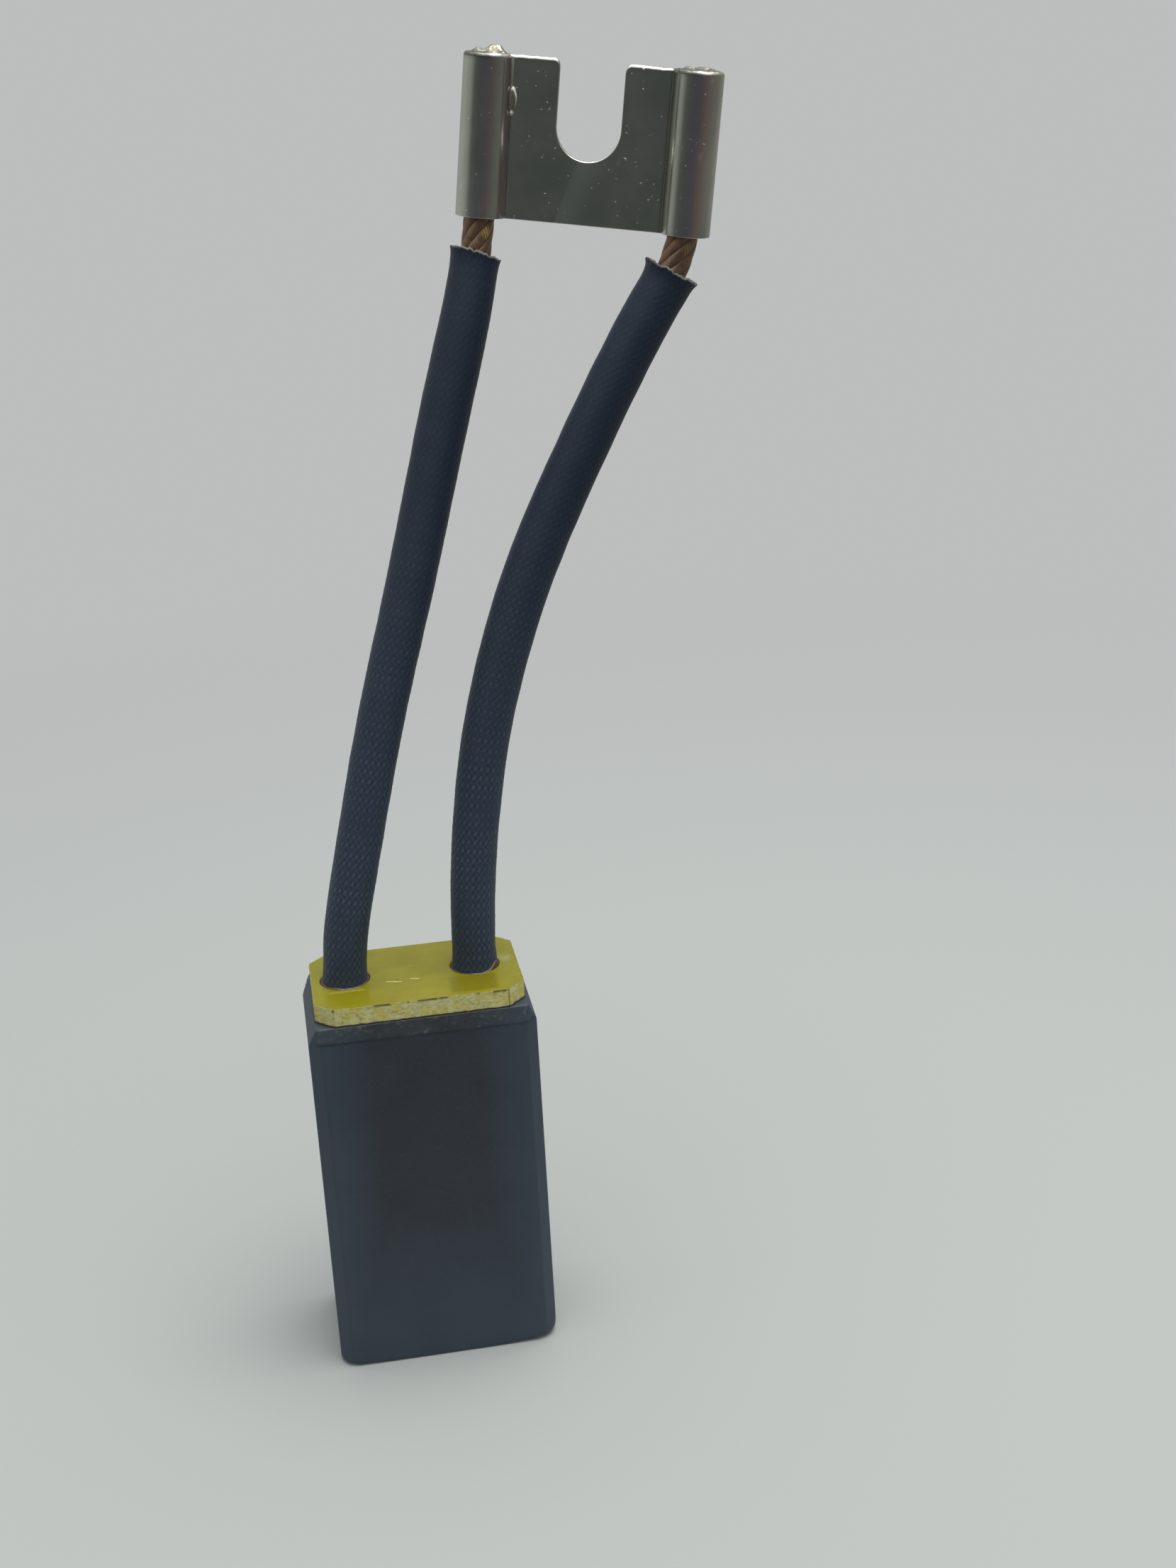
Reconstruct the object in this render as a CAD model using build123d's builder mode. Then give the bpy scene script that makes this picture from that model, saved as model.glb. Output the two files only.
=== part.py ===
from build123d import *
import os
from math import asin, cos, degrees, radians, sin, tan

# Carbon brush with two braided leads and one slotted terminal.
# The block stands on its running face. Origin: middle of the running face.
# +X runs along the block's width, +Y through its thickness to the back, +Z up the leads.
# All sizes are in millimetres.

# Carbon block
block_width = 32.0
block_depth = 20.0
block_height = 55.0
corner_chamfer = 1.65
running_edge_round = 0.3
side_bevel_run = 1.2
front_bevel_run = 0.4
back_bevel_run = 0.9
top_bevel_drop = 2.8
front_bevel_drop_left = 2.15
front_bevel_drop_right = 2.45

# Lead holes, drilled from the top and filled with tamped copper powder
lead_from_side = 6.75
lead_shift = -0.65
tamped_diameter = 8.0
tamped_depth = 16.0
drill_point_angle = 118.0

# Insulating top plate and the adhesive film under it
film_thickness = 0.15
plate_thickness = 2.55
plate_inset = 0.05
plate_corner = 2.5
cement_gap = 0.3
cement_below_top = 0.2

# Leads: a stranded copper rope in a braided sleeve
rope_diameter = 4.0
sleeve_gap = 0.5
sleeve_wall = 0.8
sleeve_short_of_bend = 2.6
arc_share_of_run = 0.45

# Terminal: one sheet with both side edges rolled round the ropes and a slot open to the top
sheet_thickness = 0.85
terminal_width = 34.6
terminal_height = 21.0
barrel_gap = 0.45
throat_radius = 1.2
seam_angle = 9.0
slot_width = 8.7
slot_floor = 8.25
slot_corner_round = 0.8
terminal_right = 31.9
terminal_back = 15.65
terminal_rise = 99.5
terminal_turn = 18.0
terminal_tilt = 7.2

# Solder in the barrels, on the rope ends and at the left seam
rope_below_rim = 0.3
solder_cap_radius = 2.85
left_cap_height = 1.3
right_cap_height = 0.6
seam_bead_length = 3.9
seam_bead_width = 1.3
seam_bead_height = 0.45
seam_bead_round = 0.3
seam_bead_middle = 15.1

# Free points of each lead's route, with their heights above the block's top
left_route = [(-6.5, 1.0, 21.0), (-1.6, 4.2, 39.0), (5.2, 9.1, 59.0), (11.2, 14.4, 78.0), (15.9, 17.5, 92.0)]
right_route = [(9.8, 1.0, 21.0), (13.0, 3.0, 38.0), (19.7, 5.9, 56.5), (29.4, 8.7, 74.0), (38.2, 10.6, 88.7)]
first_bend_height = 7.0
last_bend_below_barrel = 2.6
straight_in_barrel = 5.0

# Sizes and places that follow
sides = {"left": -1, "right": 1}
half_width = block_width / 2
half_depth = block_depth / 2
plate_top = block_height + film_thickness + plate_thickness
plate_width = block_width - 2 * (side_bevel_run + plate_inset)
plate_front = front_bevel_run + plate_inset - half_depth
plate_back = half_depth - back_bevel_run - plate_inset
lead_x = {side: lead_shift + sign * (half_width - lead_from_side) for side, sign in sides.items()}
rope_radius = rope_diameter / 2
sleeve_bore_radius = rope_radius + sleeve_gap
sleeve_radius = sleeve_bore_radius + sleeve_wall
plate_hole_radius = sleeve_radius + cement_gap
drill_point_height = tamped_diameter / 2 / tan(radians(drill_point_angle / 2))

barrel_bore = rope_radius + barrel_gap
barrel_radius = barrel_bore + sheet_thickness
barrel_middle = barrel_bore + sheet_thickness / 2
barrel_x = terminal_width / 2 - barrel_radius

# Directions of the terminal's sheet: across, up along the barrels, and out of its front
turn = radians(terminal_turn)
tilt = radians(terminal_tilt)
level = Vector(cos(turn), -sin(turn), 0)
across = level * cos(tilt) - Vector(0, 0, 1) * sin(tilt)
up = level * sin(tilt) + Vector(0, 0, 1) * cos(tilt)
front = Vector(-sin(turn), -cos(turn), 0)
terminal_foot = Vector(terminal_right, terminal_back, plate_top + terminal_rise)
barrel_mouth = {side: terminal_foot + across * (sign * barrel_x) for side, sign in sides.items()}


def lead_route(side, free_points):
    """The route's points from the top of the block to a short way inside the barrel."""
    start = Vector(lead_x[side], 0, block_height)
    first_bend = start + Vector(0, 0, first_bend_height)
    free = [Vector(x, y, block_height + rise) for x, y, rise in free_points]
    last_bend = barrel_mouth[side] - up * last_bend_below_barrel
    end = barrel_mouth[side] + up * straight_in_barrel
    return [start, first_bend, *free, last_bend, end]


def bend_radii(points):
    """The largest arc that fits at each bend of the route."""
    radii = []
    for before, here, after in zip(points, points[1:], points[2:]):
        turn_angle = (here - before).get_angle(after - here)
        shorter = min((here - before).length, (after - here).length)
        radii.append(arc_share_of_run * shorter / tan(radians(turn_angle / 2)))
    return radii


routes = {"left": lead_route("left", left_route), "right": lead_route("right", right_route)}
radii = {side: bend_radii(points) for side, points in routes.items()}
rope_line = {}
for side, points in routes.items():
    with BuildLine() as line:
        Line(points[0] - Vector(0, 0, tamped_depth), points[0])
        FilletPolyline(*points, radius=radii[side])
        Line(points[-1], barrel_mouth[side] + up * (terminal_height - rope_below_rim))
    rope_line[side] = line.wires()[0]
    runs = [(b - a).length for a, b in zip(points, points[1:])]
    print(side, "runs", [round(run, 1) for run in runs])
    print(side, "bend radii", [round(radius, 1) for radius in radii[side]])
    print(side, "rope length", round(rope_line[side].length, 1))

# Carbon block: chamfered upright edges, bevelled top edge, two blind holes
with BuildPart() as carbon_block:
    with BuildSketch():
        Rectangle(block_width, block_depth)
    extrude(amount=block_height)
    chamfer(carbon_block.edges().filter_by(Axis.Z), length=corner_chamfer)
    fillet(carbon_block.faces().sort_by(Axis.Z)[0].edges(), radius=running_edge_round)
    side_edges = [((sign * half_width, 0), (sign, 0), side_bevel_run) for sign in sides.values()]
    back_edge = ((0, half_depth), (0, 1), back_bevel_run)
    for (x, y), (out_x, out_y), run in [*side_edges, back_edge]:
        slope = Vector(out_x * top_bevel_drop, out_y * top_bevel_drop, run)
        split(bisect_by=Plane((x, y, block_height - top_bevel_drop), z_dir=slope), keep=Keep.BOTTOM)
    # The front bevel was filed by hand and runs deeper towards the right
    for x, drop in ((-half_width, front_bevel_drop_left), (half_width, front_bevel_drop_right)):
        with BuildSketch(Plane.YZ.offset(x)):
            with BuildLine():
                low = (-half_depth, block_height - drop)
                inner = (-half_depth + front_bevel_run, block_height)
                Polyline(low, inner, (-half_depth, block_height), low)
            make_face()
    loft(ruled=True, mode=Mode.SUBTRACT)
    for x in lead_x.values():
        with BuildSketch(Plane.XY.offset(block_height)):
            with Locations((x, 0)):
                Circle(tamped_diameter / 2)
        extrude(amount=-tamped_depth, mode=Mode.SUBTRACT)
        with Locations((x, 0, block_height - tamped_depth)):
            Cone(
                bottom_radius=0,
                top_radius=tamped_diameter / 2,
                height=drill_point_height,
                align=(Align.CENTER, Align.CENTER, Align.MAX),
                mode=Mode.SUBTRACT,
            )

# Top plate and film share their outline and their two lead holes
with BuildSketch() as plate_outline:
    with Locations((0, (plate_front + plate_back) / 2)):
        Rectangle(plate_width, plate_back - plate_front)
    chamfer(plate_outline.vertices(), length=plate_corner)
    with Locations(*[(x, 0) for x in lead_x.values()]):
        Circle(plate_hole_radius, mode=Mode.SUBTRACT)

with BuildPart() as bond_film:
    with BuildSketch(Plane.XY.offset(block_height)):
        add(plate_outline.sketch)
    extrude(amount=film_thickness)

with BuildPart() as top_plate:
    with BuildSketch(Plane.XY.offset(block_height + film_thickness)):
        add(plate_outline.sketch)
    extrude(amount=plate_thickness)

parts = {"carbon_block": carbon_block, "bond_film": bond_film, "top_plate": top_plate}

# Leads: rope, sleeve, tamped plug round the rope, and cement round the sleeve's foot
for side, points in routes.items():
    with BuildPart() as rope:
        with BuildSketch(Plane.XY.offset(block_height - tamped_depth)):
            with Locations((lead_x[side], 0)):
                Circle(rope_radius)
        sweep(path=rope_line[side])
    parts["rope_" + side] = rope

    with BuildPart() as sleeve:
        last_run = (points[-2] - points[-3]).normalized()
        sleeve_end = points[-2] - last_run * sleeve_short_of_bend
        with BuildLine() as sleeve_line:
            FilletPolyline(*points[:-2], sleeve_end, radius=radii[side][:-1])
        with BuildSketch(Plane.XY.offset(block_height)):
            with Locations((lead_x[side], 0)):
                Circle(sleeve_radius)
                Circle(sleeve_bore_radius, mode=Mode.SUBTRACT)
        sweep(path=sleeve_line.wires()[0])
    parts["sleeve_" + side] = sleeve
    section = (sleeve_radius**2 - sleeve_bore_radius**2) * radians(180)
    print(side, "sleeve length", round(sleeve_line.wires()[0].length, 1))
    volume_ratio = sleeve.part.volume / section / sleeve_line.wires()[0].length
    print(side, "sleeve volume over section times length", round(volume_ratio, 4))

    with BuildPart() as tamping:
        with BuildSketch(Plane.XY.offset(block_height)):
            with Locations((lead_x[side], 0)):
                Circle(tamped_diameter / 2)
        extrude(amount=-tamped_depth)
        with Locations((lead_x[side], 0, block_height - tamped_depth)):
            Cone(
                bottom_radius=0,
                top_radius=tamped_diameter / 2,
                height=drill_point_height,
                align=(Align.CENTER, Align.CENTER, Align.MAX),
            )
        with BuildSketch(Plane.XY.offset(block_height)):
            with Locations((lead_x[side], 0)):
                Circle(rope_radius)
        extrude(amount=-tamped_depth, mode=Mode.SUBTRACT)
    parts["tamping_" + side] = tamping

    with BuildPart() as foot_cement:
        with BuildSketch(Plane.XY.offset(block_height)):
            with Locations((lead_x[side], 0)):
                Circle(plate_hole_radius)
                Circle(sleeve_radius, mode=Mode.SUBTRACT)
        extrude(amount=film_thickness + plate_thickness - cement_below_top)
    parts["foot_cement_" + side] = foot_cement

# Terminal: the section seen along the barrels, with x across and y to the back.
# Each side edge bends out of the sheet's plane, goes round its rope and ends beside the sheet.
throat_angle = degrees(asin(throat_radius / (barrel_middle + throat_radius)))
throat_x = barrel_x - (barrel_middle + throat_radius) * cos(radians(throat_angle))
half_sheet = sheet_thickness / 2
throat_inside = throat_radius - half_sheet
throat_outside = throat_radius + half_sheet

with BuildPart() as terminal:
    with BuildSketch(Plane(origin=terminal_foot, x_dir=across, z_dir=up)) as sheet_section:
        with BuildLine():
            for sign, half_turn in ((-1, 0), (1, 180)):
                barrel_centre = (sign * barrel_x, 0)
                throat_centre = (sign * throat_x, -sign * throat_radius)
                wrap_start = half_turn - seam_angle
                wrap_size = -(360 - seam_angle - throat_angle)
                outer = CenterArc(barrel_centre, barrel_radius, wrap_start, wrap_size)
                inner = CenterArc(barrel_centre, barrel_bore, wrap_start, wrap_size)
                Line(outer @ 0, inner @ 0)
                throat_start = half_turn + 180 + throat_angle
                throat_size = 90 - throat_angle
                CenterArc(throat_centre, throat_inside, throat_start, throat_size)
                CenterArc(throat_centre, throat_outside, throat_start, throat_size)
            Line((-throat_x, half_sheet), (throat_x, half_sheet))
            Line((-throat_x, -half_sheet), (throat_x, -half_sheet))
        make_face()
    extrude(amount=terminal_height)
    with BuildSketch(Plane(origin=terminal_foot, x_dir=across, z_dir=front)):
        with BuildLine():
            rim = terminal_height
            side_x = slot_width / 2
            lip_x = side_x + slot_corner_round
            over = rim + sheet_thickness
            floor_arc_y = slot_floor + side_x
            RadiusArc((-lip_x, rim), (-side_x, rim - slot_corner_round), slot_corner_round)
            Line((-side_x, rim - slot_corner_round), (-side_x, floor_arc_y))
            ThreePointArc((-side_x, floor_arc_y), (0, slot_floor), (side_x, floor_arc_y))
            Line((side_x, floor_arc_y), (side_x, rim - slot_corner_round))
            RadiusArc((side_x, rim - slot_corner_round), (lip_x, rim), slot_corner_round)
            Polyline((lip_x, rim), (lip_x, over), (-lip_x, over), (-lip_x, rim))
        make_face()
    extrude(amount=sheet_thickness, both=True, mode=Mode.SUBTRACT)
parts["terminal"] = terminal

# Solder: fills each barrel round the rope and stands as a cap on its rim
cap_heights = {"left": left_cap_height, "right": right_cap_height}
for side, cap_height in cap_heights.items():
    mouth = barrel_mouth[side]
    dome_radius = (solder_cap_radius**2 + cap_height**2) / (2 * cap_height)
    with BuildPart() as solder:
        with BuildSketch(Plane(origin=mouth, x_dir=across, z_dir=front)):
            with BuildLine():
                dome_edge = (solder_cap_radius, terminal_height)
                dome_top = (0, terminal_height + cap_height)
                Polyline(dome_top, (0, 0), (barrel_bore, 0), (barrel_bore, terminal_height), dome_edge)
                RadiusArc(dome_edge, dome_top, -dome_radius)
            make_face()
        revolve(axis=Axis(mouth, up))
        add(parts["rope_" + side].part, mode=Mode.SUBTRACT)
    parts["solder_" + side] = solder

with BuildPart() as seam_bead:
    bead_x = -barrel_x + barrel_radius + seam_bead_width / 2
    bead_place = terminal_foot + across * bead_x + up * seam_bead_middle + front * half_sheet
    with BuildSketch(Plane(origin=bead_place, x_dir=up, z_dir=front)):
        SlotOverall(seam_bead_length, seam_bead_width)
    extrude(amount=seam_bead_height)
    fillet(seam_bead.faces().sort_by(Axis(bead_place, front))[-1].edges(), radius=seam_bead_round)
parts["seam_bead"] = seam_bead

os.makedirs("parts", exist_ok=True)
for name, piece in parts.items():
    piece.part.label = name
    export_step(piece.part, "parts/" + name + ".step")
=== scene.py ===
from math import asin, cos, pi, radians, sin

import bmesh
import bpy
import numpy as np
from mathutils import Matrix, Vector, noise


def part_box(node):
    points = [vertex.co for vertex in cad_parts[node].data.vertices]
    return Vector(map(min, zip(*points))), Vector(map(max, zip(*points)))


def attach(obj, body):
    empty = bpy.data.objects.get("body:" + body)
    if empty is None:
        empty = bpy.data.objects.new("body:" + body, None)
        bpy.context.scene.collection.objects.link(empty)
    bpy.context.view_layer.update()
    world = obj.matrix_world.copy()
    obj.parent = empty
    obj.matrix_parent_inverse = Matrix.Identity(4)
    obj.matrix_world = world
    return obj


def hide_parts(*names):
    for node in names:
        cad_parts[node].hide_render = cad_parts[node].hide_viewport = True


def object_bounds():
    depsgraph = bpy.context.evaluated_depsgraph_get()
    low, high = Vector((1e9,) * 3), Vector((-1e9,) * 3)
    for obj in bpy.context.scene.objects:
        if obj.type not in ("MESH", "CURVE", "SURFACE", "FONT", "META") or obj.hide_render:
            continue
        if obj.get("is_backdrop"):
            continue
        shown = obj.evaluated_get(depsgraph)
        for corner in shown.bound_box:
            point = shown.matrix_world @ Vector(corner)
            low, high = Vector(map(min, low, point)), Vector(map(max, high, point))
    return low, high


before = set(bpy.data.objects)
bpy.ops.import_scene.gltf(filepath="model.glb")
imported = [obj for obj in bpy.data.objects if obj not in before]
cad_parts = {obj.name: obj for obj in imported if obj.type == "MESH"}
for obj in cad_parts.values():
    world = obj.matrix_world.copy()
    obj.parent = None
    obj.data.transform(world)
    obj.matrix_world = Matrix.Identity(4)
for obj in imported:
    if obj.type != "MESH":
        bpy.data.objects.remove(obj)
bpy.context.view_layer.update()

MM = 0.001
BODY = "root"

# Camera: the photograph's place and angles, with the long side of the film upright
CAMERA_PLACE = (-0.01623, -0.26929, 0.18511)
CAMERA_TURN = -0.1567
CAMERA_DIP = 0.3580
CAMERA_ROLL = 0.0520
CAMERA_LENS_MM = 47.83
FILM_MM = 36.0

# Carbon block, from the frame's box and the part's own edges
block_low, block_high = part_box("carbon_block")
BLOCK_HALF = ((block_high.x - block_low.x) / 2, (block_high.y - block_low.y) / 2)
BLOCK_TOP = block_high.z
CORNER_CHAMFER = 1.65 * MM
BEVEL_DROP = 2.8 * MM
SIDE_RUN = 1.2 * MM
BACK_RUN = 0.9 * MM
FRONT_RUN = 0.4 * MM
FRONT_DROP_LEFT = 2.15 * MM
FRONT_DROP_RIGHT = 2.45 * MM
EDGE_ROUND = 0.14 * MM
FOOT_ROUND = 0.35 * MM
WORN_CORNER_ROUND = 1.3 * MM

# Lead holes and the plate over them
plate_low, plate_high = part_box("top_plate")
PLATE_TOP = plate_high.z
PLATE_CORNER = 2.5 * MM
LEAD_X = {}
for side in ("left", "right"):
    low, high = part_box("tamping_" + side)
    LEAD_X[side] = (low.x + high.x) / 2
LEAD_HOLE = 4.0 * MM
LEAD_HOLE_FLOOR = 39.0 * MM
PLATE_HOLE = 3.6 * MM

# Leads
ROPE_RADIUS = 2.0 * MM
SLEEVE_BORE = 2.5 * MM
SLEEVE_WALL = 0.5 * MM

# Terminal, in the same words as the part's source. Its throat is creased a little tighter, as in the photo.
SHEET = 0.85 * MM
TERMINAL_WIDTH = 34.6 * MM
TERMINAL_HEIGHT = 21.0 * MM
BARREL_BORE = 2.45 * MM
THROAT_RADIUS = 0.7 * MM
SEAM_ANGLE = radians(9.0)
LEFT_SEAM_OPENS = 0.3 * MM
SLOT_HALF = 4.35 * MM
SLOT_FLOOR = 8.25 * MM
SLOT_LIP_ROUND = 0.8 * MM
RIM_TOP = 0.6 * MM
RIM_SIDE = 0.14 * MM
TERMINAL_FOOT = Vector((0.0319, 0.01565, 0.1572))
TERMINAL_TURN = radians(18.0)
TERMINAL_TILT = radians(7.2)
LEVEL = Vector((cos(TERMINAL_TURN), -sin(TERMINAL_TURN), 0))
UPRIGHT = Vector((0, 0, 1))
ACROSS = LEVEL * cos(TERMINAL_TILT) - UPRIGHT * sin(TERMINAL_TILT)
ALONG = LEVEL * sin(TERMINAL_TILT) + UPRIGHT * cos(TERMINAL_TILT)
FRONT = Vector((-sin(TERMINAL_TURN), -cos(TERMINAL_TURN), 0))
BARREL_RADIUS = BARREL_BORE + SHEET
BARREL_MIDDLE = BARREL_BORE + SHEET / 2
BARREL_X = TERMINAL_WIDTH / 2 - BARREL_RADIUS
THROAT_ANGLE = asin(THROAT_RADIUS / (BARREL_MIDDLE + THROAT_RADIUS))
THROAT_X = BARREL_X - (BARREL_MIDDLE + THROAT_RADIUS) * cos(THROAT_ANGLE)
THROAT_LENGTH = THROAT_RADIUS * (pi / 2 - THROAT_ANGLE)
WRAP_LENGTH = BARREL_MIDDLE * (2 * pi - SEAM_ANGLE - THROAT_ANGLE)
HALF_STRIP = THROAT_X + THROAT_LENGTH + WRAP_LENGTH
MOUTH = {"left": TERMINAL_FOOT - ACROSS * BARREL_X, "right": TERMINAL_FOOT + ACROSS * BARREL_X}

# Each lead's route, point for point as in the part's source, in metres
ROUTE = {
    "left": [
        (-0.0099, 0.0, 0.055), (-0.0099, 0.0, 0.062), (-0.0065, 0.001, 0.076), (-0.0016, 0.0042, 0.094),
        (0.0052, 0.0091, 0.114), (0.0112, 0.0144, 0.133), (0.0159, 0.0175, 0.147),
    ],
    "right": [
        (0.0086, 0.0, 0.055), (0.0086, 0.0, 0.062), (0.0098, 0.001, 0.076), (0.013, 0.003, 0.093),
        (0.0197, 0.0059, 0.1115), (0.0294, 0.0087, 0.129), (0.0382, 0.0106, 0.1437),
    ],
}
for side, mouth in MOUTH.items():
    ROUTE[side] += [tuple(mouth - ALONG * 0.0026), tuple(mouth + ALONG * 0.005)]
ROPE_END = {side: MOUTH[side] + ALONG * (TERMINAL_HEIGHT - 0.3 * MM) for side in MOUTH}
SLEEVE_LENGTH = {"left": 0.1051, "right": 0.1045}


# Mesh helpers

def put(name, data):
    """An object in the scene that holds the given data."""
    thing = bpy.data.objects.new(name, data)
    bpy.context.scene.collection.objects.link(thing)
    return thing


def add_mesh(node, kind, points, faces, material, values=None):
    """A piece in place of a CAD node, with one number per point for each name in values."""
    name = f"{node}_{kind}"
    mesh = bpy.data.meshes.new(name)
    mesh.from_pydata([tuple(point) for point in points], [], faces)
    mesh.validate()
    for key, numbers in (values or {}).items():
        mesh.attributes.new(key, "FLOAT", "POINT").data.foreach_set("value", np.asarray(numbers, dtype=float))
    mesh.polygons.foreach_set("use_smooth", [True] * len(mesh.polygons))
    mesh.materials.append(material)
    piece = put(name, mesh)
    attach(piece, BODY)
    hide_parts(node)
    return piece


def grid_faces(rows, columns, closed=False, start=0, flip=False):
    """The quads of points numbered row by row. A closed grid joins its last column to its first."""
    faces = []
    for row in range(rows - 1):
        for column in range(columns if closed else columns - 1):
            a = start + row * columns + column
            b = start + row * columns + (column + 1) % columns
            quad = (a, b, b + columns, a + columns)
            faces.append(quad[::-1] if flip else quad)
    return faces


def pairs(items):
    """Each item with the one after it, and the last with the first."""
    items = list(items)
    return list(zip(items, items[1:] + items[:1]))


def band(first, second):
    """The quads between two closed rings of points."""
    return [(a, b, d, c) for (a, b), (c, d) in zip(pairs(first), pairs(second))]


def turns(around):
    """Angles evenly spaced round a circle."""
    return np.arange(around) * 2 * pi / around


def waves(x, y, z, seed=0.0):
    """Smooth noise from about -1 to 1 at each place of a grid, with lumps of about 1."""
    x, y, z = np.broadcast_arrays(x + seed * 3.7, y + seed * 1.9, z + seed * 5.3)
    numbers = [noise.noise(Vector(place)) for place in zip(x.ravel(), y.ravel(), z.ravel())]
    return np.reshape(numbers, x.shape)


def ripple(points, size, seed):
    """The same noise at each point, with lumps of about the given size."""
    return waves(*(points.T / size), seed)


def ring_waves(turn, reach, height):
    """The same noise at each angle of a ring, with more lumps for a larger reach."""
    return waves(np.cos(turn) * reach, np.sin(turn) * reach, height)


def smooth_step(low, high, values):
    """From 0 at low to 1 at high, without corners."""
    part = np.clip((np.asarray(values, dtype=float) - low) / (high - low), 0, 1)
    return part * part * (3 - 2 * part)


def bell(values, width, power=2):
    """1 at 0, and falling off to each side over about the given width."""
    return np.exp(-((values / width) ** power))


# Material helpers

class Graph:
    """The empty node tree of a material or world, with short names for the nodes that go into it."""

    def __init__(self, owner, place="Object"):
        owner.use_nodes = True
        self.owner = owner
        self.nodes = owner.node_tree.nodes
        self.links = owner.node_tree.links
        self.nodes.clear()
        self.place = self.add("TexCoord", {}, place)

    def join(self, source, target):
        """Links an output to an input, or sets the input to a plain value or to a colour of 0 to 255."""
        if isinstance(source, bpy.types.NodeSocket):
            self.links.new(source, target)
        elif isinstance(source, tuple) and len(source) == 3:
            target.default_value = linear(*source)
        else:
            target.default_value = source

    def add(self, kind, inputs, output=0, **settings):
        """One output of a new node with the given settings and inputs."""
        node = self.nodes.new("ShaderNode" + kind)
        for key, value in settings.items():
            setattr(node, key, value)
        for key, value in inputs.items():
            self.join(value, node.inputs[key])
        return node.outputs[output]

    def noise(self, size, detail=4.0, roughness=0.55, stretch=(1, 1, 1)):
        """Noise with lumps of about size metres, drawn out along an axis by a stretch below 1."""
        place = self.add("Mapping", {"Vector": self.place, "Scale": [factor / size for factor in stretch]})
        inputs = {"Vector": place, "Scale": 1.0, "Detail": detail, "Roughness": roughness, "Distortion": 0.0}
        return self.add("TexNoise", inputs, "Fac")

    def spread(self, value, low, high, out_low=0.0, out_high=1.0):
        """Moves the range low to high of a value to another range, and stops at its ends."""
        ends = {"From Min": low, "From Max": high, "To Min": out_low, "To Max": out_high}
        return self.add("MapRange", {"Value": value, **ends}, "Result")

    def math(self, operation, first, second=0.0):
        """One arithmetic step on two values."""
        return self.add("Math", {0: first, 1: second}, "Value", operation=operation)

    def times(self, first, second):
        """The product of two values."""
        return self.math("MULTIPLY", first, second)

    def blend(self, share, first, second):
        """The first colour where share is 0, the second where it is 1."""
        return self.add("Mix", {"Factor": share, "A": first, "B": second}, "Result", data_type="RGBA")

    def layers(self, colour, *coats):
        """A colour with others laid over it in turn, each as far as its share says."""
        for share, tone in coats:
            colour = self.blend(share, colour, tone)
        return colour

    def bump(self, height, depth, normal=None):
        """A surface normal from a height of 0 to 1 that stands for depth metres."""
        inputs = {"Strength": 1.0, "Distance": depth, "Height": height}
        if normal is not None:
            inputs["Normal"] = normal
        return self.add("Bump", inputs, "Normal")

    def value(self, name):
        """A number that the mesh holds for each point."""
        return self.add("Attribute", {}, "Fac", attribute_name=name)

    def part(self, axis):
        """The x, y or z of the place on the surface, in metres."""
        return self.add("SeparateXYZ", {"Vector": self.place}, axis)

    def patch(self, centre, half, soft, turn=0.0, wobble=0.0):
        """1 inside a turned box on the XY plane, and fading to 0 past its sides. Sizes are in mm."""
        x = self.math("SUBTRACT", self.part("X"), centre[0] * MM)
        y = self.math("SUBTRACT", self.part("Y"), centre[1] * MM)
        shares = []
        for first, second, sign, reach in ((x, y, 1, half[0]), (y, x, -1, half[1])):
            way = self.math("ADD", self.times(first, cos(turn)), self.times(second, sign * sin(turn)))
            way = self.math("ABSOLUTE", way)
            if wobble:
                waver = self.spread(self.noise(1.2 * MM), 0, 1, -wobble * MM, wobble * MM)
                way = self.math("ADD", way, waver)
            shares.append(self.spread(way, reach * MM, (reach + soft) * MM, 1, 0))
        return self.times(*shares)

    def shine(self, colour, kind="Emission"):
        """A shader that glows with a colour."""
        return self.add(kind, {"Color": colour})

    def either(self, share, first, second):
        """The first shader where share is 0, the second where it is 1."""
        return self.add("MixShader", {"Fac": share, 1: first, 2: second})

    def show(self, surface, kind="OutputMaterial"):
        """Makes a shader what the owner shows, and returns the owner."""
        node = self.nodes.new("ShaderNode" + kind)
        self.links.new(surface, node.inputs["Surface"])
        return self.owner

    def dress(self, colour, roughness, normal=None, constants=None):
        """The material, with this colour, roughness, surface normal and other constants of its shader."""
        inputs = {"Base Color": colour, "Roughness": roughness, **(constants or {})}
        if normal is not None:
            inputs["Normal"] = normal
        return self.show(self.add("BsdfPrincipled", inputs, "BSDF"))


def linear(red, green, blue):
    """A colour given as it looks on a screen, from 0 to 255, as the renderer's own numbers."""
    def channel(value):
        share = value / 255
        return share / 12.92 if share <= 0.04045 else ((share + 0.055) / 1.055) ** 2.4
    return (channel(red), channel(green), channel(blue), 1.0)


# Materials

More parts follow.
